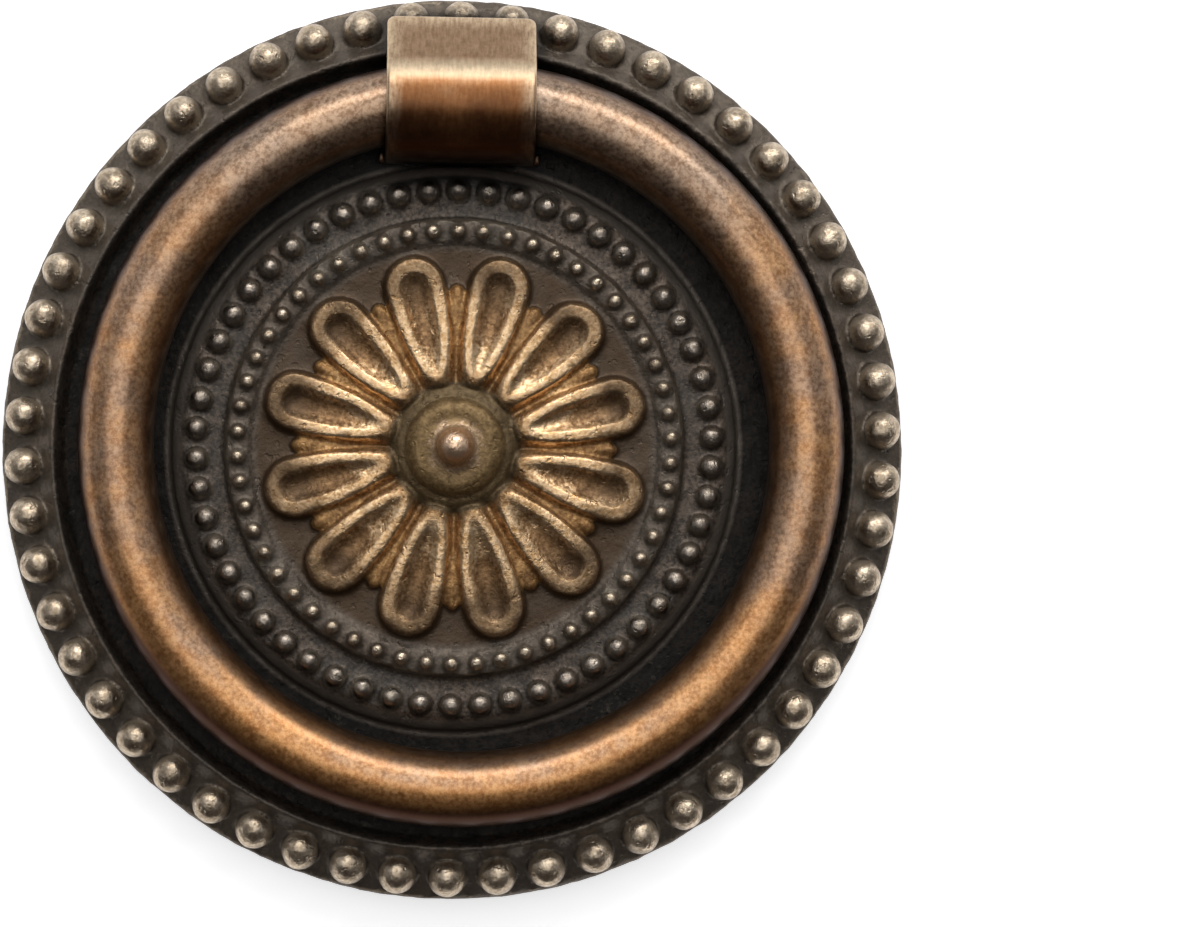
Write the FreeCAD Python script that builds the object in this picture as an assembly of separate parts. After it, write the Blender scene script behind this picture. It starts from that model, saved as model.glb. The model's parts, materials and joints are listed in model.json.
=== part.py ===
import FreeCAD, Part
import math
import os

# Ring pull handle for a drawer or a cupboard door, in millimetres and degrees.
# The plate stands upright on the drawer front: its back lies in the plane y = 0,
# its face looks along -Y, +Z is up, and the origin is the centre of the back.
# A height is how far something stands forward of the back plane, and a rise is
# how far it stands forward of the surface that carries it.
# A bow is how far the middle of an arc stands off the straight line between its ends.

# Rosette: spoon-shaped petals and the leaf tips between them.
petal_count = 12
petal_root_radius = 3.4
petal_root_width = 1.7
petal_root_rise = 0.2
petal_length = 7.4
petal_width = 3.45
petal_crown_rise = 1.15
petal_tip_rise = 0.7
spoon_root_width = 0.3
spoon_root_rise = 1.45
spoon_width = 1.95
spoon_rise = 1.32
sepal_root_width = 0.3
sepal_root_rise = 0.3
sepal_width = 0.8
sepal_rise = 0.12
sepal_tip_inset = 1.85

# Centre boss: ball, dome, thin ring and collar.
boss_rise = 3.4
boss_ball_radius = 1.1
boss_neck_radius = 1.0
boss_shoulder_radius = 1.6
boss_shoulder_rise = 1.5
boss_neck_bow = 0.1
boss_dome_radius = 2.8
boss_foot_rise = 0.85
boss_dome_bow = 0.3
boss_ring_width = 0.4
boss_ring_bow = 0.16
boss_collar_width = 0.4
boss_collar_bow = 0.2

# Medallion: the field behind the rosette, two beaded steps and the slope round them.
beads_per_row = 54
field_height = 3.9
petal_tip_gap = 0.56
inner_bead_radius = 0.44
inner_bead_margin = 0.14
inner_band_rise = 0.2
step_run = 0.2
outer_band_height = 3.5
outer_bead_radius = 0.65
outer_bead_inset = 0.84
outer_bead_overhang = 0.07
slope_run = 0.77
slope_drop = 0.6
slope_bow = 0.08
medallion_draft = 0.05

# Ring.
bar_radius = 2.1
ring_inner_gap = 1.25
ring_outer_gap = 0.5
ring_side_play = 0.4
swing_gap = 0.15

# Strap that is folded over the ring.
strap_width = 8.2
strap_thickness = 0.7
strap_leg_gap = 0.06
strap_bead_gap = 0.1
strap_end_inset = 1.2
strap_corner_radius = 0.5
strap_edge_round = 0.28
heel_width = 9.0
heel_rise = 1.2
tail_width = 6.0
tail_length = 3.2
slot_gap = 0.1

# Channel for the ring, ridge and beaded rim.
channel_height = 2.1
channel_wall_run = 0.4
ridge_height = 3.2
ridge_width = 0.3
ridge_bow = 0.08
ridge_slope_run = 0.6
rim_band_top = 2.5
rim_band_foot = 1.65
rim_bead_radius = 1.05
rim_bead_overlap = 0.15
rim_bead_rise = 0.35
rim_margin = 0.15
rim_edge_round = 0.3
bead_skirt_angle = -45.0

# Hollow back and the boss that takes the mounting screw.
floor_thickness = 1.1
medallion_wall = 1.1
rim_seat_width = 1.7
screw_boss_radius = 4.2
thread_minor_radius = 1.65
drill_point_angle = 118.0
bore_end_wall = 0.8
cut_over = 1.0

# Radii worked out from the middle to the rim.
petal_tip_radius = petal_root_radius + petal_length
inner_band_inside = petal_tip_radius + petal_tip_gap
inner_bead_circle = inner_band_inside + inner_bead_margin + inner_bead_radius
inner_band_outside = inner_bead_circle + inner_bead_radius + inner_bead_margin
outer_band_inside = inner_band_outside + step_run
outer_bead_circle = outer_band_inside + outer_bead_inset + outer_bead_radius
outer_band_outside = outer_bead_circle + outer_bead_radius - outer_bead_overhang
slope_foot = outer_band_outside + slope_run
medallion_radius = slope_foot + medallion_draft
ring_radius = medallion_radius + ring_inner_gap + bar_radius
channel_outside = ring_radius + bar_radius + ring_outer_gap
ridge_inside = channel_outside + channel_wall_run
ridge_outside = ridge_inside + ridge_width
rim_band_inside = ridge_outside + ridge_slope_run
rim_bead_circle = rim_band_inside - rim_bead_overlap + rim_bead_radius
plate_radius = rim_bead_circle + rim_bead_radius + rim_margin

# Heights worked out from the sizes above.
inner_band_height = field_height + inner_band_rise
rim_bead_height = (rim_band_top + rim_band_foot) / 2 + rim_bead_rise
floor_back = channel_height - floor_thickness

# The screw bore ends a wall's thickness behind the neck under the boss's ball.
boss_ball_height = field_height + boss_rise - boss_ball_radius
boss_neck_height = boss_ball_height - math.sqrt(boss_ball_radius**2 - boss_neck_radius**2)
drill_point = thread_minor_radius / math.tan(math.radians(drill_point_angle / 2))
thread_depth = boss_neck_height - bore_end_wall - drill_point

# The bar curves away from the middle of the strap. The swing axis lies half way
# along that sagitta, so the bar keeps the same gap to the strap at every angle.
strap_reach = strap_width / 2 + ring_side_play
half_sagitta = (ring_radius - math.sqrt(ring_radius**2 - strap_reach**2)) / 2
strap_inner_radius = bar_radius + half_sagitta + swing_gap
strap_outer_radius = strap_inner_radius + strap_thickness
leg_bottom = medallion_radius + strap_leg_gap
leg_top = leg_bottom + strap_thickness
swing_z = leg_top + strap_inner_radius
swing_height = channel_height + strap_inner_radius
ring_centre_z = swing_z + half_sagitta - ring_radius
strap_end = plate_radius - strap_end_inset

# The strap falls from its crest so steeply that its end just clears the rim beads.
end_run = strap_end - swing_z
end_drop = swing_height - (rim_bead_height + rim_bead_radius + strap_bead_gap)
end_reach = math.hypot(end_run, end_drop)
strap_fall = math.asin(strap_inner_radius / end_reach) + math.atan2(end_drop, end_run)


def at(x, z, height):
    """Point of the model from its place on the plate and its height."""
    return FreeCAD.Vector(x, -height, z)


def bow_of(radius, angle):
    """Bow of an arc of that radius that turns through that angle."""
    return radius * (1 - math.cos(angle / 2))


def face_of(outline, place):
    """Flat face from its corners, each (u, v) or, at the end of an arc, (u, v, bow).

    A positive bow lies to the left of the way from the last corner to this one.
    place turns u and v into a point of the model.
    """
    edges = []
    last = outline[-1]
    for corner in outline:
        start = place(last[0], last[1])
        end = place(corner[0], corner[1])
        if len(corner) == 3:
            run = corner[0] - last[0]
            rise = corner[1] - last[1]
            off = corner[2] / math.hypot(run, rise)
            middle = place(last[0] + run / 2 - rise * off, last[1] + rise / 2 + run * off)
            edges.append(Part.Arc(start, middle, end).toShape())
        else:
            edges.append(Part.LineSegment(start, end).toShape())
        last = corner
    return Part.Face(Part.Wire(edges))


def turned(outline):
    """Solid turned about the plate's axis from corners (radius, height[, bow])."""
    face = face_of(outline, lambda radius, height: at(radius, 0, height))
    return face.revolve(FreeCAD.Vector(0, 0, 0), FreeCAD.Vector(0, 1, 0), 360)


def around(shape, count, start_angle=0.0):
    """Copies of a shape that stands at the top, evenly spaced about the axis."""
    copies = []
    for index in range(count):
        copy = shape.copy()
        angle = start_angle + index * 360.0 / count
        copy.rotate(FreeCAD.Vector(0, 0, 0), FreeCAD.Vector(0, 1, 0), angle)
        copies.append(copy)
    return copies


def boss_outline():
    """Centre boss from the top of its ball to the foot of its collar."""
    ball_turn = math.pi - math.asin(boss_neck_radius / boss_ball_radius)
    foot_height = field_height + boss_foot_rise
    ring_outside = boss_dome_radius + boss_ring_width
    return [
        (0.0, field_height + boss_rise),
        (boss_neck_radius, boss_neck_height, bow_of(boss_ball_radius, ball_turn)),
        (boss_shoulder_radius, field_height + boss_shoulder_rise, -boss_neck_bow),
        (boss_dome_radius, foot_height, boss_dome_bow),
        (ring_outside, foot_height, boss_ring_bow),
        (ring_outside + boss_collar_width, field_height, boss_collar_bow),
    ]


def medallion_outline():
    """Stepped medallion from the rosette's field to the channel floor."""
    return [
        (inner_band_inside - step_run, field_height),
        (inner_band_inside, inner_band_height),
        (inner_band_outside, inner_band_height),
        (outer_band_inside, outer_band_height),
        (outer_band_outside, outer_band_height),
        (slope_foot, outer_band_height - slope_drop, slope_bow),
        (medallion_radius, channel_height),
    ]


def rim_outline():
    """Ridge, sloping bead band and rounded edge, down to the back."""
    return [
        (channel_outside, channel_height),
        (ridge_inside, ridge_height),
        (ridge_outside, ridge_height, ridge_bow),
        (rim_band_inside, rim_band_top),
        (plate_radius - rim_edge_round, rim_band_foot),
        (plate_radius, rim_band_foot - rim_edge_round, bow_of(rim_edge_round, math.pi / 2)),
        (plate_radius, 0.0),
    ]


def plate_blank():
    """The casting's turned form, still solid and without its ornament."""
    return turned(boss_outline() + medallion_outline() + rim_outline() + [(0.0, 0.0)])


def back_hollow():
    """Hollow of the back round the screw boss, deeper behind the medallion."""
    ceiling = outer_band_height - medallion_wall
    seat_inside = plate_radius - rim_seat_width
    return turned([
        (screw_boss_radius, -cut_over),
        (screw_boss_radius, ceiling),
        (outer_band_inside, ceiling),
        (outer_band_inside + ceiling - floor_back, floor_back),
        (seat_inside, floor_back),
        (seat_inside, -cut_over),
    ])


def screw_bore():
    """Blind tapped hole on the axis, with the point that the drill leaves."""
    return turned([
        (0.0, -cut_over),
        (thread_minor_radius, -cut_over),
        (thread_minor_radius, thread_depth),
        (0.0, thread_depth + drill_point),
    ])


def bead_row(circle_radius, bead_radius, centre_height):
    """A row of round beads, the first at the top of the plate."""
    centre = at(0, circle_radius, centre_height)
    forward = FreeCAD.Vector(0, -1, 0)
    bead = Part.makeSphere(bead_radius, centre, forward, bead_skirt_angle, 90, 360)
    return around(bead, beads_per_row)


def teardrop(root, root_radius, belly, belly_radius):
    """Drop that swells from a flat root to a round belly and ends as a ball.

    root and belly are (distance from the plate's axis, height) on the drop's axis.
    """
    run = math.hypot(belly[0] - root[0], belly[1] - root[1])
    swell = belly_radius - root_radius
    flank_radius = (run**2 + swell**2) / (2 * swell)
    flank_bow = bow_of(flank_radius, math.asin(run / flank_radius))
    face = face_of([
        (0.0, 0.0),
        (0.0, root_radius),
        (run, belly_radius, flank_bow),
        (run + belly_radius, 0.0, bow_of(belly_radius, math.pi / 2)),
    ], lambda along, out: FreeCAD.Vector(along, out, 0))
    drop = face.revolve(FreeCAD.Vector(0, 0, 0), FreeCAD.Vector(1, 0, 0), 360)
    start = at(0, root[0], root[1])
    lie = FreeCAD.Rotation(FreeCAD.Vector(1, 0, 0), at(0, belly[0], belly[1]) - start)
    drop.Placement = FreeCAD.Placement(start, lie)
    return drop


def petal_cone():
    """Flat cone under which the petals stay, so that their rims have a broad top."""
    crown_height = field_height + petal_crown_rise
    cone_outside = petal_tip_radius + cut_over
    return turned([
        (0.0, 0.0),
        (cone_outside, 0.0),
        (cone_outside, field_height + petal_tip_rise),
        (petal_root_radius, crown_height),
        (0.0, crown_height),
    ])


def petals():
    """Spoon-shaped petals: a drop with a flattened top, hollowed from above."""
    belly = petal_tip_radius - petal_width / 2
    body = teardrop(
        (petal_root_radius, field_height + petal_root_rise), petal_root_width / 2,
        (belly, field_height), petal_width / 2).common(petal_cone())
    spoon = teardrop(
        (petal_root_radius, field_height + spoon_root_rise), spoon_root_width / 2,
        (belly, field_height + spoon_rise), spoon_width / 2)
    return around(body.cut(spoon), petal_count, 180.0 / petal_count)


def sepals():
    """Slim leaf tips that show between the petals."""
    belly = petal_tip_radius - sepal_tip_inset - sepal_width / 2
    sepal = teardrop(
        (petal_root_radius, field_height + sepal_root_rise), sepal_root_width / 2,
        (belly, field_height + sepal_rise), sepal_width / 2)
    return around(sepal, petal_count)


def tail_slot():
    """Slot in the channel floor for the strap's tail."""
    width = tail_width + 2 * slot_gap
    depth = strap_thickness + slot_gap
    corner = at(-width / 2, leg_bottom, channel_height + cut_over)
    return Part.makeBox(width, channel_height + 2 * cut_over, depth, corner)


def backplate():
    """The whole casting."""
    ornament = bead_row(rim_bead_circle, rim_bead_radius, rim_bead_height)
    ornament += bead_row(outer_bead_circle, outer_bead_radius, outer_band_height)
    ornament += bead_row(inner_bead_circle, inner_bead_radius, inner_band_height)
    ornament += petals() + sepals()
    plate = plate_blank().fuse(ornament)
    plate = plate.cut([back_hollow(), screw_bore(), tail_slot()])
    return plate.removeSplitter()


def strap_body():
    """Leg, bend over the ring and fall to the free end, at the strap's full width."""
    bend_turn = math.pi / 2 + strap_fall
    sine = math.sin(strap_fall)
    cosine = math.cos(strap_fall)

    def bend_end(radius):
        return (swing_z + radius * sine, swing_height + radius * cosine)

    def fall_end(radius):
        z, height = bend_end(radius)
        return (strap_end, height - (strap_end - z) * sine / cosine)

    side = face_of([
        (leg_bottom, channel_height),
        (leg_bottom, swing_height),
        bend_end(strap_outer_radius) + (bow_of(strap_outer_radius, bend_turn),),
        fall_end(strap_outer_radius),
        fall_end(strap_inner_radius),
        bend_end(strap_inner_radius),
        (leg_top, swing_height, -bow_of(strap_inner_radius, bend_turn)),
        (leg_top, channel_height),
    ], lambda z, height: at(-strap_width / 2, z, height))
    return rounded(side.extrude(FreeCAD.Vector(strap_width, 0, 0)))


def rounded(body):
    """Strap body with its free corners and the edges of its outer face rounded."""
    half_width = strap_width / 2
    corners = []
    for edge in body.Edges:
        middle = edge.CenterOfMass
        at_end = abs(middle.z - strap_end) < 1e-4 and abs(abs(middle.x) - half_width) < 1e-4
        if at_end:
            corners.append(edge)
    body = body.makeFillet(strap_corner_radius, corners)
    skin = []
    for edge in body.Edges:
        points = edge.discretize(5)
        outside = all(on_outer_face(point) for point in points)
        sideways = abs(points[0].x - points[-1].x) > half_width
        if outside and (not sideways or abs(points[0].z - strap_end) < 1e-4):
            skin.append(edge)
    return body.makeFillet(min(strap_edge_round, strap_thickness / 3), skin)


def on_outer_face(point):
    """Whether a point lies on the face of the strap that is turned to the room."""
    z = point.z - swing_z
    height = -point.y - swing_height
    if height <= 1e-6 and z < 0:
        off = -z
    elif z <= math.tan(strap_fall) * height:
        off = math.hypot(z, height)
    else:
        off = z * math.sin(strap_fall) + height * math.cos(strap_fall)
    return abs(off - strap_outer_radius) < 1e-4


def strap_heel():
    """Wider foot of the leg, which stands on the channel floor."""
    corner = at(-heel_width / 2, leg_bottom, channel_height + heel_rise)
    return Part.makeBox(heel_width, heel_rise, strap_thickness, corner)


def strap_tail():
    """Narrow tail, through the slot and clinched flat behind the channel floor."""
    bend_outside = slot_gap + strap_thickness
    bend_height = floor_back + slot_gap
    tail_back = floor_back - strap_thickness
    quarter = math.pi / 2
    side = face_of([
        (leg_bottom, channel_height),
        (leg_top, channel_height),
        (leg_top, bend_height),
        (leg_top + slot_gap, floor_back, bow_of(slot_gap, quarter) * -1),
        (leg_top + tail_length, floor_back),
        (leg_top + tail_length, tail_back),
        (leg_top + slot_gap, tail_back),
        (leg_bottom, bend_height, bow_of(bend_outside, quarter)),
    ], lambda z, height: at(-tail_width / 2, z, height))
    return side.extrude(FreeCAD.Vector(tail_width, 0, 0))


def ring_strap():
    """Folded strap: one piece of metal from its free end to its clinched tail."""
    return strap_body().fuse([strap_heel(), strap_tail()]).removeSplitter()


def ring():
    """Plain round bail ring, hanging a little to one side in its strap."""
    centre = at(ring_side_play, ring_centre_z, swing_height)
    return Part.makeTorus(ring_radius, bar_radius, centre, FreeCAD.Vector(0, 1, 0))


def main():
    os.makedirs("parts", exist_ok=True)
    for name, make in (("backplate", backplate), ("ring_strap", ring_strap), ("ring", ring)):
        make().exportStep("parts/" + name + ".step")
    print("plate diameter", round(2 * plate_radius, 2))
    print("swing axis at z", round(swing_z, 3), "height", round(swing_height, 3))
    print("strap falls at", round(math.degrees(strap_fall), 1), "degrees")
    print("overall depth", round(swing_height + strap_outer_radius, 3))
    print("thread depth", round(thread_depth, 3))


main()
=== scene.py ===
# %% [markdown]
# # Ring pull handle in antique copper
#
# The object is a small pull for a drawer or a cupboard door: a cast round plate
# with a rosette and three rows of beads, a plain ring that hangs in front of it,
# and a strap that is folded over the top of the ring. The CAD model already has
# every size. Here the pieces get the skin of real metal: soft cast corners, a
# dark patina that stays in the hollows, and bare metal where hands rub it.

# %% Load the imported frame
import math
import json

import bpy
import numpy as np
from mathutils import Matrix, Vector


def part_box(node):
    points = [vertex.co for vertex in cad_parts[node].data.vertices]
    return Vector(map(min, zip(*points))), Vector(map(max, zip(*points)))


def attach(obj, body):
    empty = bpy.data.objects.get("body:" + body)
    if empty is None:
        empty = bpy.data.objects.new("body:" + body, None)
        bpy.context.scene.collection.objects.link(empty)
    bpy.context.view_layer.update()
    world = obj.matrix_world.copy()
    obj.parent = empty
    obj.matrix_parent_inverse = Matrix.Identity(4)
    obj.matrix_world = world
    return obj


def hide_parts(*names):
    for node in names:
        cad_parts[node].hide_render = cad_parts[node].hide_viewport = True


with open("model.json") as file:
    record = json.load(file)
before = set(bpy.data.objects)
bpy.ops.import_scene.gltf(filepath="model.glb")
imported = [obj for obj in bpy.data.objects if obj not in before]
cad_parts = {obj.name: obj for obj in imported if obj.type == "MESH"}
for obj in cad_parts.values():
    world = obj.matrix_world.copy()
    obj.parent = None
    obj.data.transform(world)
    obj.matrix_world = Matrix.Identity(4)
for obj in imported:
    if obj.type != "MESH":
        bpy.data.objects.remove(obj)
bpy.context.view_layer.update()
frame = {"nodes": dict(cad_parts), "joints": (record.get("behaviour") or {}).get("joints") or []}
MM = 0.001
print("CAD pieces:", sorted(frame["nodes"]))

# %% [markdown]
# ## Where things are
#
# The plate stands upright: its back lies in the plane y = 0, its face looks
# along -Y and +Z is up. Places that the other pieces must share are read from
# the frame, so that nothing is typed twice: the swing axis is the joint's own
# place, and the strap's faces are the sides of its CAD box.

# %% Places read from the frame
SWING_X, SWING_Y, SWING_Z = frame["joints"][0]["pos_m"]
strap_low, strap_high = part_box("ring_strap")
ring_low, ring_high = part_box("ring")
plate_low, plate_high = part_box("backplate")

BAR_RADIUS = (ring_high.y - ring_low.y) / 2
RING_RADIUS = (ring_high.x - ring_low.x) / 2 - BAR_RADIUS
RING_CENTRE = (ring_low + ring_high) / 2
PLATE_RADIUS = (plate_high.x - plate_low.x) / 2
print("ring radius mm", round(RING_RADIUS / MM, 2), "bar radius mm", round(BAR_RADIUS / MM, 2))

# %% [markdown]
# ## Working as by hand
#
# An operator acts on everything that is selected, so each step starts with
# nothing selected. Faces and edges are then picked by their place, the way one
# would click them, and the operator is run on them.


# %% Helpers for picking and finishing
def clear_selection():
    if bpy.context.object and bpy.context.object.mode != "OBJECT":
        bpy.ops.object.mode_set(mode="OBJECT")
    bpy.ops.object.select_all(action="DESELECT")


def work_on(piece):
    clear_selection()
    piece.select_set(True)
    bpy.context.view_layer.objects.active = piece


def pick(piece, kind, test):
    """Selects only the vertices, edges or faces whose middle passes the test."""
    bpy.ops.object.mode_set(mode="EDIT")
    bpy.ops.mesh.select_mode(type=kind)
    bpy.ops.mesh.select_all(action="DESELECT")
    bpy.ops.object.mode_set(mode="OBJECT")
    mesh = piece.data
    if kind == "VERT":
        for vertex in mesh.vertices:
            vertex.select = test(vertex.co)
    if kind == "EDGE":
        for edge in mesh.edges:
            ends = [mesh.vertices[i].co for i in edge.vertices]
            edge.select = all(test(end) for end in ends)
    if kind == "FACE":
        for face in mesh.polygons:
            face.select = test(face.center)
    bpy.ops.object.mode_set(mode="EDIT")


def settle(piece):
    """Puts the piece's place into its mesh, so that its object sits at the origin."""
    work_on(piece)
    bpy.ops.object.transform_apply(location=True, rotation=True, scale=True)


def add_modifier(piece, kind, **settings):
    """Adds one modifier with these settings and applies it at once."""
    work_on(piece)
    bpy.ops.object.modifier_add(type=kind)
    modifier = piece.modifiers[-1]
    for name, value in settings.items():
        setattr(modifier, name, value)
    bpy.ops.object.modifier_apply(modifier=modifier.name)


# %% [markdown]
# ## The cast plate
#
# The plate is one casting: the boss, the petals, the beads and the ridge all grow
# out of it. In the CAD solid each bead meets its band in a knife-sharp corner,
# which molten metal never fills. A copy of the solid is turned into an even skin
# with a voxel remesh and then smoothed a little. The corners fill up and
# the crests of the petals soften, as they do when a pattern is cast.

# %% Copy of the casting with an even skin
VOXEL = 0.12 * MM
plate_mesh = frame["nodes"]["backplate"].data.copy()
plate = bpy.data.objects.new("cast_plate", plate_mesh)
bpy.context.scene.collection.objects.link(plate)
work_on(plate)
bpy.ops.object.mode_set(mode="EDIT")
bpy.ops.mesh.select_all(action="SELECT")
bpy.ops.mesh.remove_doubles(threshold=0.001 * MM)
bpy.ops.object.mode_set(mode="OBJECT")
add_modifier(plate, "REMESH", mode="VOXEL", voxel_size=VOXEL)
add_modifier(plate, "SMOOTH", factor=0.5, iterations=3)
print("plate after the remesh:", len(plate.data.polygons), "faces")

# %% [markdown]
# ### Where the metal is rubbed bright
#
# Hands and polishing wheels only touch what stands proud. The plate's body is a
# turned form, so on each circle round the axis the lowest point is the body
# itself and the highest is the top of a bead or the crest of a petal. Each point's
# place between the two says how much it is rubbed. The number is kept on the mesh
# as an attribute, which the material reads later. It is measured only where there
# is ornament: in the rosette with the two bead rows round it, and in the rim's row.
# Between the petals hardly any of the body shows, so in the rosette the lowest
# height is taken from the plain field just outside the petals. A point that lies
# further back than half the wall's thickness belongs to the hollow back. It gets
# a mark of its own, because nobody rubs or colours the back.

# %% Measure how proud each point stands
CIRCLE_STEP = 0.1 * MM
LEAST_RELIEF = 0.3 * MM
ORNAMENT = ((3.5 * MM, 15.1 * MM), (22.7 * MM, 24.9 * MM))
PLAIN_FIELD = (10.95 * MM, 11.15 * MM)

places = np.empty(len(plate.data.vertices) * 3, np.float32)
plate.data.vertices.foreach_get("co", places)
places = places.reshape(-1, 3)
heights = -places[:, 1]
radii = np.hypot(places[:, 0], places[:, 2])
circles = (radii / CIRCLE_STEP).astype(int)
facing = np.empty(len(places) * 3, np.float32)
plate.data.vertex_normals.foreach_get("vector", facing)
front = facing.reshape(-1, 3)[:, 1] < 0
flat_front = facing.reshape(-1, 3)[:, 1] < -0.3
proud = np.zeros(len(places), np.float32)
behind = np.zeros(len(places), np.float32)
HALF_WALL = 0.55 * MM
plain = front & (radii > PLAIN_FIELD[0]) & (radii < PLAIN_FIELD[1])
field_height = np.median(heights[plain])
for circle in range(circles.max() + 1):
    here = circles == circle
    on_circle = np.flatnonzero(front & here)
    if np.any(here & flat_front):
        behind[here] = heights[here] < np.percentile(heights[here & flat_front], 4) - HALF_WALL
    ornate = any(low < circle * CIRCLE_STEP < high for low, high in ORNAMENT)
    if not ornate or len(on_circle) < 20:
        continue
    low, high = np.percentile(heights[on_circle], [4, 98])
    if circle * CIRCLE_STEP < PLAIN_FIELD[0]:
        low = field_height
    relief = max(high - low, LEAST_RELIEF)
    proud[on_circle] = np.clip((heights[on_circle] - low) / relief, 0, 1)
for name, values in (("stands_proud", proud), ("lies_behind", behind)):
    plate.data.attributes.new(name, "FLOAT", "POINT").data.foreach_set("value", values)
print("share of the face that stands proud:", round(float((proud > 0.6).mean()), 3))

# %% [markdown]
# No two beads of a cast row are quite alike. A shallow displacement with a soft
# noise makes each a little different. After that the mesh is thinned
# out: the flat back keeps few faces and the ornament keeps most of them. The foot
# of the small ball is smoothed further, because its corner is the first to be
# rubbed round.

# %% Uneven casting, then thin out the mesh
FACES_WANTED = 190000
lumps = bpy.data.textures.new("casting_lumps", "CLOUDS")
lumps.noise_scale = 1.1 * MM
add_modifier(plate, "DISPLACE", texture=lumps, texture_coords="LOCAL",
             strength=0.12 * MM, mid_level=0.5)
triangles = sum(len(face.vertices) - 2 for face in plate.data.polygons)
if triangles > FACES_WANTED:
    add_modifier(plate, "DECIMATE", ratio=FACES_WANTED / triangles)

pick(plate, "VERT", lambda p: p.y < -5.4 * MM and math.hypot(p.x, p.z) < 1.9 * MM)
bpy.ops.mesh.vertices_smooth(factor=0.5, repeat=14)
bpy.ops.object.mode_set(mode="OBJECT")
plate.data.shade_smooth()
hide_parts("backplate")
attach(plate, "plate")
print("plate:", len(plate.data.polygons), "faces")

# %% [markdown]
# ## The strap
#
# The strap is a strip of sheet metal: a heel that stands in the channel, a leg,
# a round bend over the ring and a straight fall to the rim, with a tail that goes
# through a slot and is bent flat behind the plate. A strip is easiest to make
# as a strip. One flat face is drawn for the heel, cut lengthwise where the widths
# change, and its end edges are extruded and spun along the way that the metal
# takes. Solidify then gives the strip its thickness.

# %% Sizes of the strip
STRAP_WIDTH = 8.2 * MM
HEEL_WIDTH = 9.0 * MM
TAIL_WIDTH = 6.0 * MM
STRAP_THICKNESS = 0.7 * MM
CHANNEL_Y = -2.1 * MM
HEEL_RISE = 1.2 * MM
TAIL_BEND_Y = -1.1 * MM
TAIL_BEND_RADIUS = 0.8 * MM
STRAP_FALL = math.radians(42.5)
LEG_Z = strap_low.z
BEND_RADIUS = SWING_Z - LEG_Z

# %% Heel, cut lengthwise
clear_selection()
heel_middle = (0, CHANNEL_Y - HEEL_RISE / 2, LEG_Z)
bpy.ops.mesh.primitive_plane_add(size=1, location=heel_middle)
strap = bpy.context.object
strap.name = "folded_strap"
strap.scale = (HEEL_WIDTH, HEEL_RISE, 1)
settle(strap)
bpy.ops.object.mode_set(mode="EDIT")
for x in (-STRAP_WIDTH / 2, -TAIL_WIDTH / 2, TAIL_WIDTH / 2, STRAP_WIDTH / 2):
    bpy.ops.mesh.select_all(action="SELECT")
    bpy.ops.mesh.bisect(plane_co=(x, 0, 0), plane_no=(1, 0, 0))
bpy.ops.object.mode_set(mode="OBJECT")
print("heel:", len(strap.data.polygons), "faces")


# %% Leg, bend over the ring and fall
def near(value, target):
    return abs(value - target) < 0.01 * MM


def extrude_by(y, z):
    bpy.ops.mesh.extrude_region_move(TRANSFORM_OT_translate={"value": (0, y, z)})


front = CHANNEL_Y - HEEL_RISE
half = STRAP_WIDTH / 2 + 0.01 * MM
pick(strap, "EDGE", lambda p: near(p.y, front) and abs(p.x) < half)
extrude_by(SWING_Y - front, 0)
bend_centre = (0, SWING_Y, SWING_Z)
bend_turn = math.pi / 2 + STRAP_FALL
bpy.ops.mesh.spin(steps=40, angle=bend_turn, center=bend_centre, axis=(1, 0, 0))
bend_end_z = SWING_Z + BEND_RADIUS * math.sin(STRAP_FALL)
fall = strap_high.z - bend_end_z
for part in range(4):
    extrude_by(fall / 4 * math.tan(STRAP_FALL), fall / 4)
bpy.ops.object.mode_set(mode="OBJECT")

# %% Tail through the slot, bent flat behind the plate
half = TAIL_WIDTH / 2 + 0.01 * MM
pick(strap, "EDGE", lambda p: near(p.y, CHANNEL_Y) and abs(p.x) < half)
extrude_by(TAIL_BEND_Y - CHANNEL_Y, 0)
tail_centre = (0, TAIL_BEND_Y, LEG_Z + TAIL_BEND_RADIUS)
bpy.ops.mesh.spin(steps=12, angle=-math.pi / 2, center=tail_centre, axis=(1, 0, 0))
TAIL_LENGTH = 3.1 * MM
extrude_by(0, TAIL_LENGTH)
bpy.ops.object.mode_set(mode="OBJECT")
lows = [min(v.co[i] for v in strap.data.vertices) for i in range(3)]
highs = [max(v.co[i] for v in strap.data.vertices) for i in range(3)]
print("strip from", [round(v / MM, 2) for v in lows], "to", [round(v / MM, 2) for v in highs])

# %% [markdown]
# The strip's free corners are rounded while it is still thin. Its faces must all
# look away from the ring before Solidify, because the thickness then grows
# towards the ring and the outside keeps its size.

# %% Corners, thickness and softened edges
CORNER_RADIUS = 0.5 * MM
half = STRAP_WIDTH / 2
pick(strap, "VERT", lambda p: near(p.z, strap_high.z) and near(abs(p.x), half))
bpy.ops.mesh.bevel(offset=CORNER_RADIUS, segments=5, affect="VERTICES")
bpy.ops.mesh.select_all(action="SELECT")
bpy.ops.mesh.remove_doubles(threshold=0.001 * MM)
bpy.ops.mesh.normals_make_consistent(inside=False)
bpy.ops.object.mode_set(mode="OBJECT")
leg = min(strap.data.polygons, key=lambda face: abs(face.center.y - SWING_Y * 0.9) + abs(face.center.z - LEG_Z))
if leg.normal.z > 0:
    bpy.ops.object.mode_set(mode="EDIT")
    bpy.ops.mesh.select_all(action="SELECT")
    bpy.ops.mesh.flip_normals()
    bpy.ops.object.mode_set(mode="OBJECT")
add_modifier(strap, "SOLIDIFY", thickness=STRAP_THICKNESS, offset=-1, use_even_offset=True)
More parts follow.
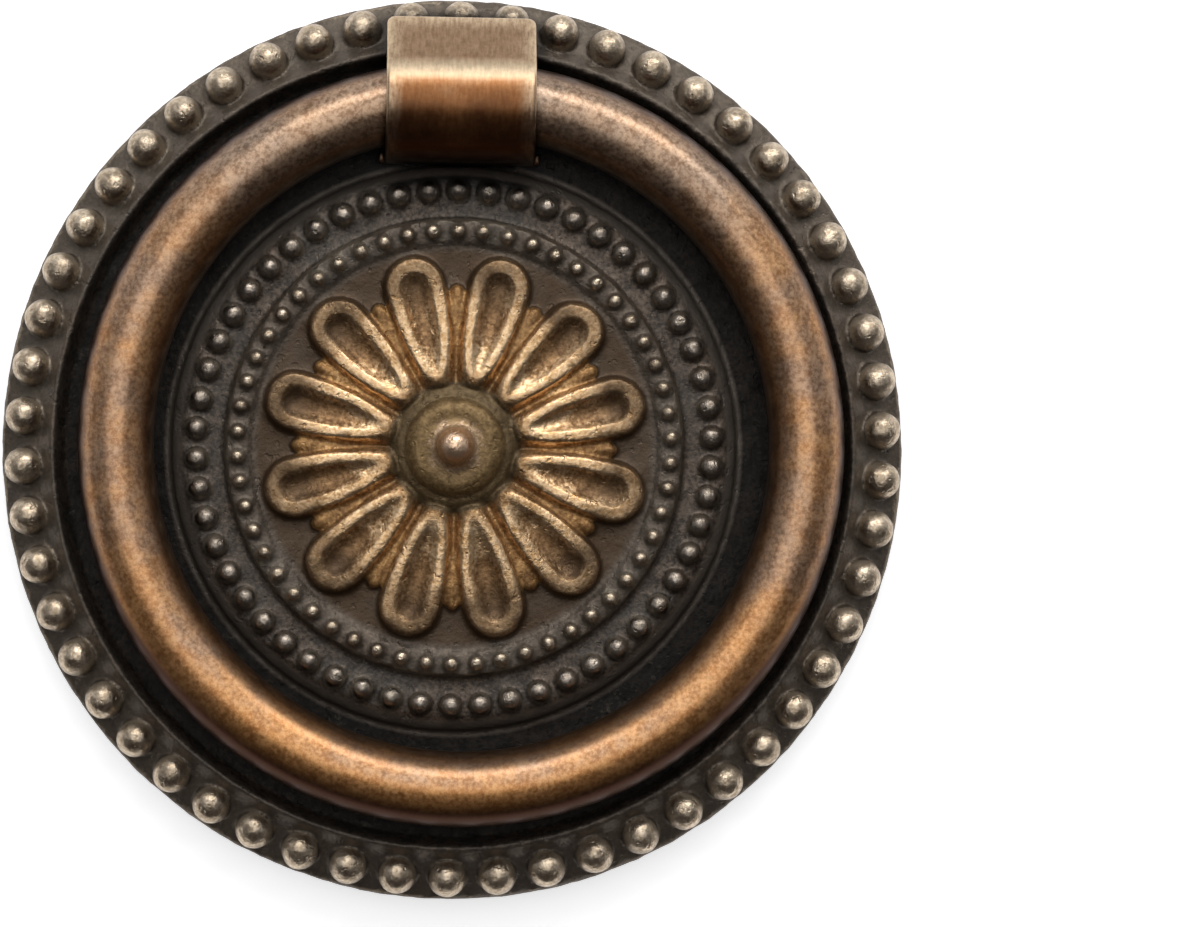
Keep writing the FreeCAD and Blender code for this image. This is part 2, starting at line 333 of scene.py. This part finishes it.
add_modifier(strap, "BEVEL", width=0.28 * MM, segments=4, limit_method="ANGLE",
             angle_limit=math.radians(50))
work_on(strap)
bpy.ops.object.shade_smooth_by_angle(angle=math.radians(35))
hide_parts("ring_strap")
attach(strap, "plate")
print("strap:", len(strap.data.polygons), "faces")

# %% [markdown]
# ## The ring
#
# The ring is bent from round rod and polished by hand, so its bar is never quite
# true. A torus with many segments is the start. A very shallow displacement with
# a soft noise gives it the slight waves that make its highlights wander.

# %% Ring
clear_selection()
bpy.ops.mesh.primitive_torus_add(
    location=RING_CENTRE, rotation=(math.pi / 2, 0, 0),
    major_radius=RING_RADIUS, minor_radius=BAR_RADIUS,
    major_segments=320, minor_segments=56)
ring = bpy.context.object
ring.name = "pull_ring"
settle(ring)
waves = bpy.data.textures.new("rod_waves", "CLOUDS")
waves.noise_scale = 5.0 * MM
add_modifier(ring, "DISPLACE", texture=waves, texture_coords="LOCAL",
             strength=0.03 * MM, mid_level=1.0)
ring.data.shade_smooth()
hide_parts("ring")
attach(ring, "pull_ring")
print("ring:", len(ring.data.polygons), "faces")

# %% [markdown]
# ## Finishes
#
# All three pieces have the same kind of finish: copper-coloured metal that was
# darkened with a chemical and then rubbed back. The differences are how much is
# rubbed back, and where. What they share is made once, as node groups.


# %% Helpers for nodes
def add_node(tree, kind, **values):
    """Adds a node; values are its settings, or its inputs by name or number."""
    node = tree.nodes.new(kind)
    for name, value in values.items():
        if hasattr(node, name):
            setattr(node, name, value)
        else:
            node.inputs[name.replace("_", " ")].default_value = value
    return node


def new_group(name, inputs, outputs):
    group = bpy.data.node_groups.new(name, "ShaderNodeTree")
    for socket, kind, value in inputs:
        made = group.interface.new_socket(socket, in_out="INPUT", socket_type=kind)
        if value is not None:
            made.default_value = value
    for socket, kind in outputs:
        group.interface.new_socket(socket, in_out="OUTPUT", socket_type=kind)
    return group, group.nodes.new("NodeGroupInput"), group.nodes.new("NodeGroupOutput")


def math_node(tree, operation, a, b=None, clamp=False):
    """A Math node; a and b are numbers or sockets."""
    node = tree.nodes.new("ShaderNodeMath")
    node.operation = operation
    node.use_clamp = clamp
    for index, value in enumerate((a, b)):
        if value is None:
            continue
        if isinstance(value, (int, float)):
            node.inputs[index].default_value = value
        else:
            tree.links.new(value, node.inputs[index])
    return node.outputs[0]


def ramp(tree, value, low, high):
    """0 below low, 1 above high, and a smooth step between them."""
    node = tree.nodes.new("ShaderNodeMapRange")
    node.interpolation_type = "SMOOTHSTEP"
    node.inputs["From Min"].default_value = low
    node.inputs["From Max"].default_value = high
    tree.links.new(value, node.inputs["Value"])
    return node.outputs["Result"]


def mix_colours(tree, share, a, b):
    node = tree.nodes.new("ShaderNodeMix")
    node.data_type = "RGBA"
    for socket, value in ((node.inputs[0], share), (node.inputs[6], a), (node.inputs[7], b)):
        if isinstance(value, (int, float)):
            socket.default_value = value
        elif isinstance(value, tuple):
            socket.default_value = value + (1.0,)
        else:
            tree.links.new(value, socket)
    return node.outputs[2]


def noise(tree, place, size, detail=4.0, roughness=0.55):
    """Noise whose blotches are about that many metres across."""
    node = tree.nodes.new("ShaderNodeTexNoise")
    node.inputs["Scale"].default_value = 1 / size
    node.inputs["Detail"].default_value = detail
    node.inputs["Roughness"].default_value = roughness
    tree.links.new(place, node.inputs["Vector"])
    return node.outputs["Fac"]


# %% [markdown]
# ### Cast grain
#
# Under a lens the metal isn't smooth. It has a fine grain from the mould and from
# the acid, and a few larger pits. The group gives one height for the Bump node,
# one tone that lightens and darkens the colour with the same grain, and slow
# blotches, because acid never darkens a surface evenly.

# %% Node group: grain
grain, g_in, g_out = new_group(
    "metal_grain",
    [("Place", "NodeSocketVector", None), ("Pits", "NodeSocketFloat", 0.3)],
    [("Height", "NodeSocketFloat"), ("Tone", "NodeSocketFloat"), ("Blotches", "NodeSocketFloat")])
place = g_in.outputs["Place"]
fine = noise(grain, place, 0.22 * MM, 3.0, 0.6)
coarse = noise(grain, place, 0.8 * MM, 3.0, 0.6)
blotches = noise(grain, place, 4.0 * MM, 5.0, 0.65)
pit_noise = noise(grain, place, 0.5 * MM, 2.0, 0.5)
pits = math_node(grain, "MULTIPLY", ramp(grain, pit_noise, 0.62, 0.72), g_in.outputs["Pits"])
height = math_node(grain, "ADD", math_node(grain, "MULTIPLY", fine, 0.5),
                   math_node(grain, "MULTIPLY", coarse, 0.5))
height = math_node(grain, "SUBTRACT", height, pits)
grain.links.new(height, g_out.inputs["Height"])
tone = math_node(grain, "ADD", math_node(grain, "MULTIPLY", fine, 0.6),
                 math_node(grain, "MULTIPLY", coarse, 0.4))
grain.links.new(ramp(grain, tone, 0.34, 0.66), g_out.inputs["Tone"])
grain.links.new(ramp(grain, blotches, 0.32, 0.68), g_out.inputs["Blotches"])

# %% [markdown]
# ### Where the patina stays
#
# The black of the patina stays where nothing rubs: between the beads, under
# the ring, in the corners. Ambient Occlusion finds those places, because it
# measures how much of the room a point can see.

# %% Node group: hollows
hollows, h_in, h_out = new_group(
    "dark_hollows",
    [("Reach", "NodeSocketFloat", 1.0 * MM), ("From", "NodeSocketFloat", 0.3),
     ("To", "NodeSocketFloat", 0.8)],
    [("Hollow", "NodeSocketFloat")])
shade = hollows.nodes.new("ShaderNodeAmbientOcclusion")
shade.samples = 6
hollows.links.new(h_in.outputs["Reach"], shade.inputs["Distance"])
hidden = math_node(hollows, "SUBTRACT", 1.0, shade.outputs["AO"], True)
spread = hollows.nodes.new("ShaderNodeMapRange")
spread.interpolation_type = "SMOOTHSTEP"
hollows.links.new(hidden, spread.inputs["Value"])
hollows.links.new(h_in.outputs["From"], spread.inputs["From Min"])
hollows.links.new(h_in.outputs["To"], spread.inputs["From Max"])
hollows.links.new(spread.outputs["Result"], h_out.inputs["Hollow"])

# %% [markdown]
# ### Worn edges
#
# A Bevel node gives the direction that a rounded edge would face. Where it
# differs from the true direction there is an edge, and edges wear bright first.

# %% Node group: edges
edges, e_in, e_out = new_group(
    "worn_edges", [("Radius", "NodeSocketFloat", 0.3 * MM)], [("Edge", "NodeSocketFloat")])
rounded = edges.nodes.new("ShaderNodeBevel")
rounded.samples = 4
edges.links.new(e_in.outputs["Radius"], rounded.inputs["Radius"])
surface = edges.nodes.new("ShaderNodeNewGeometry")
compare = edges.nodes.new("ShaderNodeVectorMath")
compare.operation = "DOT_PRODUCT"
edges.links.new(rounded.outputs["Normal"], compare.inputs[0])
edges.links.new(surface.outputs["Normal"], compare.inputs[1])
differs = math_node(edges, "SUBTRACT", 1.0, compare.outputs["Value"], True)
edges.links.new(ramp(edges, differs, 0.01, 0.12), e_out.inputs["Edge"])


# %% Helpers: a material and its shared groups
def start_material(name):
    material = bpy.data.materials.new(name)
    material.use_nodes = True
    tree = material.node_tree
    here = tree.nodes.new("ShaderNodeTexCoord").outputs["Object"]
    return material, tree, tree.nodes["Principled BSDF"], here


def use_group(tree, group, **values):
    node = tree.nodes.new("ShaderNodeGroup")
    node.node_tree = group
    for name, value in values.items():
        node.inputs[name].default_value = value
    return node


def use_bump(tree, shader, height, strength, distance):
    bump = tree.nodes.new("ShaderNodeBump")
    bump.inputs["Strength"].default_value = strength
    bump.inputs["Distance"].default_value = distance
    tree.links.new(height, bump.inputs["Height"])
    tree.links.new(bump.outputs["Normal"], shader.inputs["Normal"])


def between(tree, share, low, high):
    """A number that goes from low to high as share goes from 0 to 1."""
    return math_node(tree, "ADD", low, math_node(tree, "MULTIPLY", share, high - low))


def dress(piece, material):
    piece.data.materials.clear()
    piece.data.materials.append(material)


# %% [markdown]
# ### The plate's patina
#
# Four colours lie on the plate. Its ground is nearly black. The tops of
# the beads are a dull pinkish beige. The petals are golden brown with pale crests,
# and the ball of the boss is rubbed the most. The attribute chooses
# between ground and rubbed metal, and the distance from the axis chooses
# the kind of metal. The grain breaks up every border.

# %% Plate material
material, tree, shader, here = start_material("plate_patina")
skin = use_group(tree, grain, Pits=0.35)
tree.links.new(here, skin.inputs["Place"])
hollow_mask = use_group(tree, hollows, Reach=1.1 * MM, From=0.42, To=0.95)
proud_node = add_node(tree, "ShaderNodeAttribute", attribute_name="stands_proud")
uneven = between(tree, skin.outputs["Tone"], -0.10, 0.10)
patchy = between(tree, skin.outputs["Blotches"], -0.14, 0.14)
proud_here = math_node(tree, "ADD", proud_node.outputs["Fac"], math_node(tree, "ADD", uneven, patchy))
axes = tree.nodes.new("ShaderNodeSeparateXYZ")
tree.links.new(here, axes.inputs[0])
radius = math_node(tree, "SQRT", math_node(
    tree, "ADD", math_node(tree, "POWER", axes.outputs["X"], 2.0),
    math_node(tree, "POWER", axes.outputs["Z"], 2.0)))
in_rosette = math_node(tree, "SUBTRACT", 1.0, ramp(tree, radius, 10.6 * MM, 11.2 * MM))
in_boss = math_node(tree, "SUBTRACT", 1.0, ramp(tree, radius, 3.3 * MM, 4.0 * MM))
ball_edge = math_node(tree, "ADD", radius, math_node(tree, "MULTIPLY", uneven, 3 * MM))
on_ball = math_node(tree, "SUBTRACT", 1.0, ramp(tree, ball_edge, 0.5 * MM, 1.7 * MM))

in_channel = math_node(tree, "MULTIPLY", ramp(tree, radius, 15.6 * MM, 16.1 * MM),
                       math_node(tree, "SUBTRACT", 1.0, ramp(tree, radius, 21.3 * MM, 21.8 * MM)))
on_rim = ramp(tree, radius, 21.8 * MM, 22.4 * MM)
at_inner_row = math_node(tree, "SUBTRACT", 1.0, ramp(tree, radius, 12.4 * MM, 12.9 * MM))
at_tips = ramp(tree, radius, 7.0 * MM, 9.2 * MM)
sideways = math_node(tree, "ABSOLUTE", axes.outputs["X"])
# Painted shadow: the strap's shadow on the medallion's edge and the beads below it, kept off the rim's beads.
strap_shadow = math_node(tree, "MULTIPLY", ramp(tree, axes.outputs["Z"], 13.6 * MM, 14.8 * MM),
                        math_node(tree, "SUBTRACT", 1.0, ramp(tree, sideways, 3.6 * MM, 5.8 * MM)))
strap_shadow = math_node(tree, "MULTIPLY", strap_shadow,
                        math_node(tree, "SUBTRACT", 1.0, ramp(tree, radius, 23.8 * MM, 24.6 * MM)))
clear_of_boss = ramp(tree, radius, 3.7 * MM, 4.7 * MM)
PETALS = 12
turn = math_node(tree, "ARCTAN2", axes.outputs["X"], axes.outputs["Z"])
wave = math_node(tree, "COSINE", math_node(tree, "MULTIPLY", turn, PETALS))
on_sepals = math_node(tree, "MULTIPLY", ramp(tree, wave, 0.55, 0.9), clear_of_boss)

# Ground: mottled brown. In the channel behind the ring it is painted nearly black as shade.
ground = mix_colours(tree, skin.outputs["Tone"], (0.026, 0.019, 0.014), (0.155, 0.115, 0.085))
ground = mix_colours(tree, math_node(tree, "MULTIPLY", skin.outputs["Blotches"], 0.6),
                     ground, (0.052, 0.049, 0.043))
near_beads = math_node(tree, "MAXIMUM", math_node(tree, "MULTIPLY", on_rim, 0.5), math_node(
    tree, "MULTIPLY", at_inner_row, 0.3))
ground = mix_colours(tree, near_beads, ground, (0.150, 0.120, 0.088))
ground = mix_colours(tree, math_node(tree, "MULTIPLY", in_channel, 0.85), ground, (0.006, 0.006, 0.006))

# Beads: grey on the medallion, pale brown on the rim.
flank = mix_colours(tree, skin.outputs["Blotches"], (0.085, 0.060, 0.040), (0.190, 0.160, 0.120))
flank = mix_colours(tree, on_rim, flank, (0.290, 0.230, 0.165))
grey_top = mix_colours(tree, skin.outputs["Tone"], (0.19, 0.16, 0.13), (0.50, 0.43, 0.36))
pale_top = mix_colours(tree, skin.outputs["Tone"], (0.32, 0.24, 0.16), (0.78, 0.65, 0.49))
bead_top = mix_colours(tree, math_node(tree, "MAXIMUM", on_rim, at_inner_row), grey_top, pale_top)
beads = mix_colours(tree, ramp(tree, proud_here, 0.12, 0.5), ground, flank)
top_share = math_node(tree, "MULTIPLY", ramp(tree, proud_here, 0.55, 0.98),
                      between(tree, skin.outputs["Blotches"], 1.0, 0.5))
beads = mix_colours(tree, top_share, beads, bead_top)
# Painted shadow: the beads below the strap are darkened nearly to black.
beads = mix_colours(tree, math_node(tree, "MULTIPLY", strap_shadow, 0.85), beads, (0.014, 0.013, 0.013))

# Petals: golden brown, with pale rims that fade out at the tips.
petal_flank = mix_colours(tree, skin.outputs["Tone"], (0.13, 0.064, 0.023), (0.36, 0.205, 0.090))
petal_crest = mix_colours(tree, skin.outputs["Tone"], (0.48, 0.28, 0.120), (0.85, 0.61, 0.37))
sepal_gold = mix_colours(tree, skin.outputs["Tone"], (0.22, 0.100, 0.030), (0.55, 0.310, 0.110))
petals = mix_colours(tree, ramp(tree, proud_node.outputs["Fac"], 0.10, 0.26), ground, petal_flank)
dull = math_node(tree, "MULTIPLY", at_tips, between(tree, skin.outputs["Blotches"], 1.0, 0.60))
petals = mix_colours(tree, dull, petals, (0.070, 0.040, 0.019))
golden = math_node(tree, "MULTIPLY", on_sepals, between(tree, skin.outputs["Blotches"], 0.25, 1.0))
golden = math_node(tree, "MULTIPLY", golden, ramp(tree, proud_node.outputs["Fac"], 0.14, 0.30))
petals = mix_colours(tree, golden, petals, sepal_gold)
crest = math_node(tree, "MULTIPLY", ramp(tree, proud_here, 0.60, 0.94),
                  math_node(tree, "SUBTRACT", 1.0, math_node(tree, "MULTIPLY", dull, 0.95)))
crest = math_node(tree, "MULTIPLY", crest, between(tree, clear_of_boss, 0.25, 1.0))
petals = mix_colours(tree, crest, petals, petal_crest)

# Boss: olive brown, with a ball that is rubbed bright.
dome = mix_colours(tree, skin.outputs["Tone"], (0.12, 0.072, 0.026), (0.27, 0.175, 0.075))
boss_edge = math_node(tree, "MULTIPLY", ramp(tree, radius, 2.4 * MM, 2.9 * MM), 0.6)
dome = mix_colours(tree, boss_edge, dome, (0.050, 0.034, 0.016))
boss = mix_colours(tree, on_ball, dome, (0.86, 0.60, 0.40))
colour = mix_colours(tree, in_rosette, beads, petals)
colour = mix_colours(tree, in_boss, colour, boss)

# Back: plain dark casting, with bare metal in the tapped bore.
at_back = add_node(tree, "ShaderNodeAttribute", attribute_name="lies_behind").outputs["Fac"]
bore = math_node(tree, "SUBTRACT", 1.0, ramp(tree, radius, 1.72 * MM, 1.86 * MM))
raw = mix_colours(tree, skin.outputs["Tone"], (0.040, 0.032, 0.025), (0.120, 0.100, 0.080))
raw = mix_colours(tree, math_node(tree, "MULTIPLY", skin.outputs["Blotches"], 0.5), raw, (0.034, 0.031, 0.028))
raw = mix_colours(tree, bore, raw, (0.42, 0.39, 0.35))
colour = mix_colours(tree, at_back, colour, raw)
hollow_darkening = math_node(tree, "MULTIPLY", hollow_mask.outputs["Hollow"], between(tree, in_boss, 0.85, 0.35))
colour = mix_colours(tree, hollow_darkening, colour, (0.010, 0.008, 0.007))
on_step = math_node(tree, "MULTIPLY", ramp(tree, radius, 14.9 * MM, 15.2 * MM),
                    math_node(tree, "SUBTRACT", 1.0, ramp(tree, radius, 15.7 * MM, 16.1 * MM)))
on_step = math_node(tree, "MULTIPLY", on_step, between(tree, at_back, 0.8, 0.0))
colour = mix_colours(tree, on_step, colour, (0.160, 0.135, 0.110))
tree.links.new(colour, shader.inputs["Base Color"])
rubbed = math_node(tree, "SUBTRACT", ramp(tree, proud_here, 0.5, 0.95),
                   math_node(tree, "MULTIPLY", math_node(tree, "MULTIPLY", dull, in_rosette), 0.6), True)
rubbed = math_node(tree, "MAXIMUM", rubbed, on_ball)
rubbed = math_node(tree, "MULTIPLY", rubbed, between(tree, at_back, 1.0, 0.4))
tree.links.new(between(tree, rubbed, 0.6, 1.0), shader.inputs["Metallic"])
tree.links.new(between(tree, rubbed, 0.46, 0.33), shader.inputs["Roughness"])
# Painted shade: less reflection in the channel and in the strap's shadow, so that both stay dark.
black = math_node(tree, "MAXIMUM", in_channel, strap_shadow)
tree.links.new(between(tree, black, 0.5, 0.15), shader.inputs["Specular IOR Level"])
use_bump(tree, shader, skin.outputs["Height"], 0.7, 0.10 * MM)
dress(plate, material)

# %% [markdown]
# ### The ring's copper
#
# The ring is the piece that is held, so it is rubbed nearly all over: warm copper
# with browner clouds and a fine speckle. It is darker where the strap and the
# plate come close. Its inner side and outer edge are darkened as painted shade,
# and a brighter, redder band on its lower front is painted light.

# %% Ring material
material, tree, shader, here = start_material("ring_copper")
skin = use_group(tree, grain, Pits=0.0)
tree.links.new(here, skin.inputs["Place"])
hollow_mask = use_group(tree, hollows, Reach=3.0 * MM, From=0.35, To=0.85)
warm = mix_colours(tree, skin.outputs["Tone"], (0.42, 0.175, 0.055), (0.78, 0.42, 0.175))
brown = mix_colours(tree, skin.outputs["Tone"], (0.25, 0.145, 0.085), (0.54, 0.35, 0.225))
dim = mix_colours(tree, skin.outputs["Tone"], (0.15, 0.105, 0.072), (0.42, 0.32, 0.240))
lit_copper = mix_colours(tree, skin.outputs["Tone"], (0.55, 0.22, 0.060), (0.95, 0.48, 0.170))
metal = mix_colours(tree, skin.outputs["Blotches"], warm, brown)
axes = tree.nodes.new("ShaderNodeSeparateXYZ")
tree.links.new(here, axes.inputs[0])
across = math_node(tree, "SUBTRACT", axes.outputs["X"], RING_CENTRE.x)
upward = math_node(tree, "SUBTRACT", axes.outputs["Z"], RING_CENTRE.z)
radius = math_node(tree, "SQRT", math_node(
    tree, "ADD", math_node(tree, "POWER", across, 2.0), math_node(tree, "POWER", upward, 2.0)))
low_down = ramp(tree, upward, -4 * MM, -19 * MM)
high_up = ramp(tree, upward, 6 * MM, 17 * MM)
metal = mix_colours(tree, math_node(tree, "MULTIPLY", high_up, 0.7), metal, dim)
outward = math_node(tree, "SUBTRACT", radius, RING_RADIUS)
# Painted light: a brighter, redder copper band on the lower front of the ring, standing in for light from below
# the front.
lit_low_band = math_node(tree, "MULTIPLY", low_down, ramp(tree, outward, -0.5 * MM, 0.3 * MM))
metal = mix_colours(tree, math_node(tree, "MULTIPLY", lit_low_band, 0.8), metal, lit_copper)
# Painted shade: the inner side of the bar, which faces the medallion, is darkened. Towards the bottom the
# darkening starts nearer the middle of the bar and dims the highlight there.
inward = math_node(tree, "SUBTRACT", between(tree, low_down, 0.0, 0.35 * MM), outward)
inner_shade = math_node(tree, "MULTIPLY", ramp(tree, inward, 0.8 * MM, 1.8 * MM), 0.80)
metal = mix_colours(tree, inner_shade, metal, (0.070, 0.040, 0.022))
# Painted shade: the outer edge of the bar is darkened nearly to black and loses its coat, so that it shows no
# bright reflection.
outer_edge = math_node(tree, "ADD", outward, between(tree, low_down, 0.0, 0.6 * MM))
outer_shade = math_node(tree, "MULTIPLY", ramp(tree, outer_edge, 1.2 * MM, 2.0 * MM), 0.97)
metal = mix_colours(tree, outer_shade, metal, (0.026, 0.006, 0.002))
# Darker where the strap and the plate come close.
hollow_darkening = math_node(tree, "MULTIPLY", hollow_mask.outputs["Hollow"], 0.9)
colour = mix_colours(tree, hollow_darkening, metal, (0.022, 0.014, 0.010))
tree.links.new(colour, shader.inputs["Base Color"])
shader.inputs["Metallic"].default_value = 0.95
tree.links.new(between(tree, skin.outputs["Tone"], 0.30, 0.40), shader.inputs["Roughness"])
tree.links.new(between(tree, outer_shade, 0.3, 0.0), shader.inputs["Coat Weight"])
shader.inputs["Coat Roughness"].default_value = 0.20
use_bump(tree, shader, skin.outputs["Height"], 0.35, 0.012 * MM)
dress(ring, material)

# %% [markdown]
# ### The strap's copper
#
# The strap has the ring's finish, with some differences. Its corners and edges
# are worn bright, and its flat fall keeps greyer clouds. A pale band along the top
# of its bend is a painted highlight, its pale borders are partly painted highlight,
# and its lower part is painted darker as shade.

# %% Strap material
material, tree, shader, here = start_material("strap_copper")
skin = use_group(tree, grain, Pits=0.0)
tree.links.new(here, skin.inputs["Place"])
hollow_mask = use_group(tree, hollows, Reach=1.5 * MM, From=0.3, To=0.8)
wear = use_group(tree, edges, Radius=0.35 * MM)
drawn_out = add_node(tree, "ShaderNodeVectorMath", operation="MULTIPLY")
tree.links.new(here, drawn_out.inputs[0])
drawn_out.inputs[1].default_value = (1.0, 0.2, 0.2)
strokes = ramp(tree, noise(tree, drawn_out.outputs[0], 0.16 * MM, 3.0, 0.6), 0.30, 0.70)
mottle = math_node(tree, "ADD", math_node(tree, "MULTIPLY", strokes, 0.6),
                   math_node(tree, "MULTIPLY", skin.outputs["Tone"], 0.4))
warm = mix_colours(tree, mottle, (0.27, 0.098, 0.028), (0.40, 0.18, 0.066))
grey = mix_colours(tree, mottle, (0.20, 0.115, 0.058), (0.35, 0.228, 0.135))
axes = tree.nodes.new("ShaderNodeSeparateXYZ")
tree.links.new(here, axes.inputs[0])
cloudy = math_node(tree, "ADD", axes.outputs["Z"], between(tree, skin.outputs["Blotches"], -0.9 * MM, 0.9 * MM))
on_fall = ramp(tree, cloudy, SWING_Z, SWING_Z + 2.2 * MM)
metal = mix_colours(tree, on_fall, warm, grey)
shaded = ramp(tree, cloudy, SWING_Z + 2.6 * MM, SWING_Z - 2.8 * MM)
metal = mix_colours(tree, math_node(tree, "MULTIPLY", shaded, 0.9), metal, (0.055, 0.019, 0.008))
sideways = math_node(tree, "ABSOLUTE", axes.outputs["X"])
# Pale borders along the sides and the top edge: partly edge wear, partly painted highlight. Lower down they and
# the worn edges fade, as painted shade.
border = math_node(tree, "MAXIMUM", ramp(tree, sideways, 3.0 * MM, 4.0 * MM),
                   ramp(tree, axes.outputs["Z"], strap_high.z - 1.0 * MM, strap_high.z - 0.1 * MM))
border = math_node(tree, "MULTIPLY", border, between(tree, mottle, 0.10, 0.60))
lower = ramp(tree, axes.outputs["Z"], SWING_Z - 0.2 * MM, SWING_Z - 1.6 * MM)
border = math_node(tree, "MULTIPLY", border, between(tree, lower, 1.0, 0.3))
bright = math_node(tree, "MAXIMUM", border, math_node(
    tree, "MULTIPLY", wear.outputs["Edge"], between(tree, lower, 0.8, 0.1)))
# Painted highlight: a pale band along the top of the bend, where the highlight lies.
crest = math_node(tree, "ABSOLUTE", math_node(tree, "SUBTRACT", axes.outputs["Z"], SWING_Z + 1.70 * MM))
crest = math_node(tree, "SUBTRACT", 0.95, ramp(tree, crest, 0.0 * MM, 0.85 * MM), True)
crest = math_node(tree, "MULTIPLY", crest, between(tree, mottle, 0.6, 1.0))
bright = math_node(tree, "MAXIMUM", bright, crest)
metal = mix_colours(tree, bright, metal, (0.80, 0.63, 0.42))
# Darker where the ring and the plate come close.
hollow_darkening = math_node(tree, "MULTIPLY", hollow_mask.outputs["Hollow"], 0.85)
colour = mix_colours(tree, hollow_darkening, metal, (0.022, 0.014, 0.010))
tree.links.new(colour, shader.inputs["Base Color"])
shader.inputs["Metallic"].default_value = 0.95
tree.links.new(between(tree, mottle, 0.30, 0.40), shader.inputs["Roughness"])
shader.inputs["Coat Weight"].default_value = 0.15
shader.inputs["Coat Roughness"].default_value = 0.20
use_bump(tree, shader, skin.outputs["Height"], 0.2, 0.012 * MM)
dress(strap, material)

# %% [markdown]
# ## The wall, the light and the camera
#
# The pull lies on plain white. A pale sheet right behind the plate catches its
# shadow. The sheet can't be seen from behind, and it has a round window behind
# the plate, so that the back can be looked at and gets light too.

# %% Backdrop
WINDOW_RADIUS = PLATE_RADIUS - 0.6 * MM
clear_selection()
bpy.ops.mesh.primitive_circle_add(vertices=96, radius=WINDOW_RADIUS, fill_type="NOTHING",
                                  location=(0, 0.4 * MM, 0), rotation=(math.pi / 2, 0, 0))
sheet = bpy.context.object
sheet.name = "white_sheet"
settle(sheet)
bpy.ops.object.mode_set(mode="EDIT")
bpy.ops.mesh.select_all(action="SELECT")
for widen in (4, 8):
    bpy.ops.mesh.extrude_edges_move()
    bpy.ops.transform.resize(value=(widen, 1, widen), center_override=(0, 0, 0))
bpy.ops.object.mode_set(mode="OBJECT")
if sheet.data.polygons[0].normal.y > 0:
    bpy.ops.object.mode_set(mode="EDIT")
    bpy.ops.mesh.select_all(action="SELECT")
    bpy.ops.mesh.flip_normals()
    bpy.ops.object.mode_set(mode="OBJECT")

material = bpy.data.materials.new("white_sheet")
material.use_nodes = True
tree = material.node_tree
tree.nodes.clear()
paper = add_node(tree, "ShaderNodeBsdfDiffuse", Color=(0.86, 0.85, 0.85, 1.0))
glow = add_node(tree, "ShaderNodeEmission", Color=(1.0, 1.0, 1.0, 1.0))
path = tree.nodes.new("ShaderNodeLightPath")
seen = math_node(tree, "ADD", path.outputs["Is Camera Ray"], path.outputs["Is Glossy Ray"], True)
seen = math_node(tree, "ADD", seen, path.outputs["Is Transmission Ray"], True)
tree.links.new(math_node(tree, "MULTIPLY", seen, 0.65), glow.inputs["Strength"])
both = tree.nodes.new("ShaderNodeAddShader")
tree.links.new(paper.outputs[0], both.inputs[0])
tree.links.new(glow.outputs[0], both.inputs[1])
clear = tree.nodes.new("ShaderNodeBsdfTransparent")
side = tree.nodes.new("ShaderNodeNewGeometry")
choose = tree.nodes.new("ShaderNodeMixShader")
tree.links.new(side.outputs["Backfacing"], choose.inputs[0])
tree.links.new(both.outputs[0], choose.inputs[1])
tree.links.new(clear.outputs[0], choose.inputs[2])
output = tree.nodes.new("ShaderNodeOutputMaterial")
tree.links.new(choose.outputs[0], output.inputs["Surface"])
dress(sheet, material)


# %% Lamps
def soft_box(name, place, target, width, height, power, colour):
    clear_selection()
    bpy.ops.object.light_add(type="AREA", location=place)
    lamp = bpy.context.object
    lamp.name = name
    lamp.data.shape = "RECTANGLE"
    lamp.data.size = width
    lamp.data.size_y = height
    lamp.data.energy = power
    lamp.data.color = colour
    lamp.rotation_euler = (Vector(target) - Vector(place)).to_track_quat("-Z", "Y").to_euler()
    return lamp


middle = (0, -3 * MM, 0)
soft_box("top_softbox", (0.05, -0.30, 0.33), middle, 0.46, 0.14, 0.95, (1.0, 0.985, 0.96))
soft_box("front_fill", (-0.04, -0.60, 0.10), middle, 0.56, 0.44, 0.80, (1.0, 1.0, 1.0))
soft_box("rear_fill", (0.10, 0.42, 0.30), middle, 0.40, 0.30, 3.0, (1.0, 1.0, 1.0))

# %% World
world = bpy.data.worlds.new("studio")
bpy.context.scene.world = world
world.use_nodes = True
tree = world.node_tree
tree.nodes.clear()
direction = tree.nodes.new("ShaderNodeSeparateXYZ")
tree.links.new(tree.nodes.new("ShaderNodeTexCoord").outputs["Generated"], direction.inputs[0])
upward = ramp(tree, direction.outputs["Z"], -0.5, 0.9)
room = add_node(tree, "ShaderNodeBackground", Strength=1.0)
tree.links.new(mix_colours(tree, upward, (0.06, 0.055, 0.055), (0.62, 0.64, 0.68)),
               room.inputs["Color"])
output = tree.nodes.new("ShaderNodeOutputWorld")
tree.links.new(room.outputs[0], output.inputs["Surface"])

# %% Camera
CAMERA_PLACE = Vector((-5.4 * MM, -300 * MM, -9.0 * MM))
FRAME_MIDDLE = Vector((8.2 * MM, 0, -0.64 * MM))
FRAME_WIDTH = 67.0 * MM
ROLL = math.radians(0.9)
clear_selection()
bpy.ops.object.camera_add(location=CAMERA_PLACE)
camera = bpy.context.object
look = FRAME_MIDDLE - CAMERA_PLACE
camera.data.sensor_width = 36
camera.data.lens = 36 * look.length / FRAME_WIDTH
turn = look.to_track_quat("-Z", "Y").to_matrix() @ Matrix.Rotation(ROLL, 3, "Z")
camera.rotation_euler = turn.to_euler()
camera.data.clip_start = 0.01
bpy.context.scene.camera = camera
bpy.context.scene.view_settings.view_transform = "Standard"
print("camera", [round(v / MM, 1) for v in CAMERA_PLACE], "lens", round(camera.data.lens, 1))
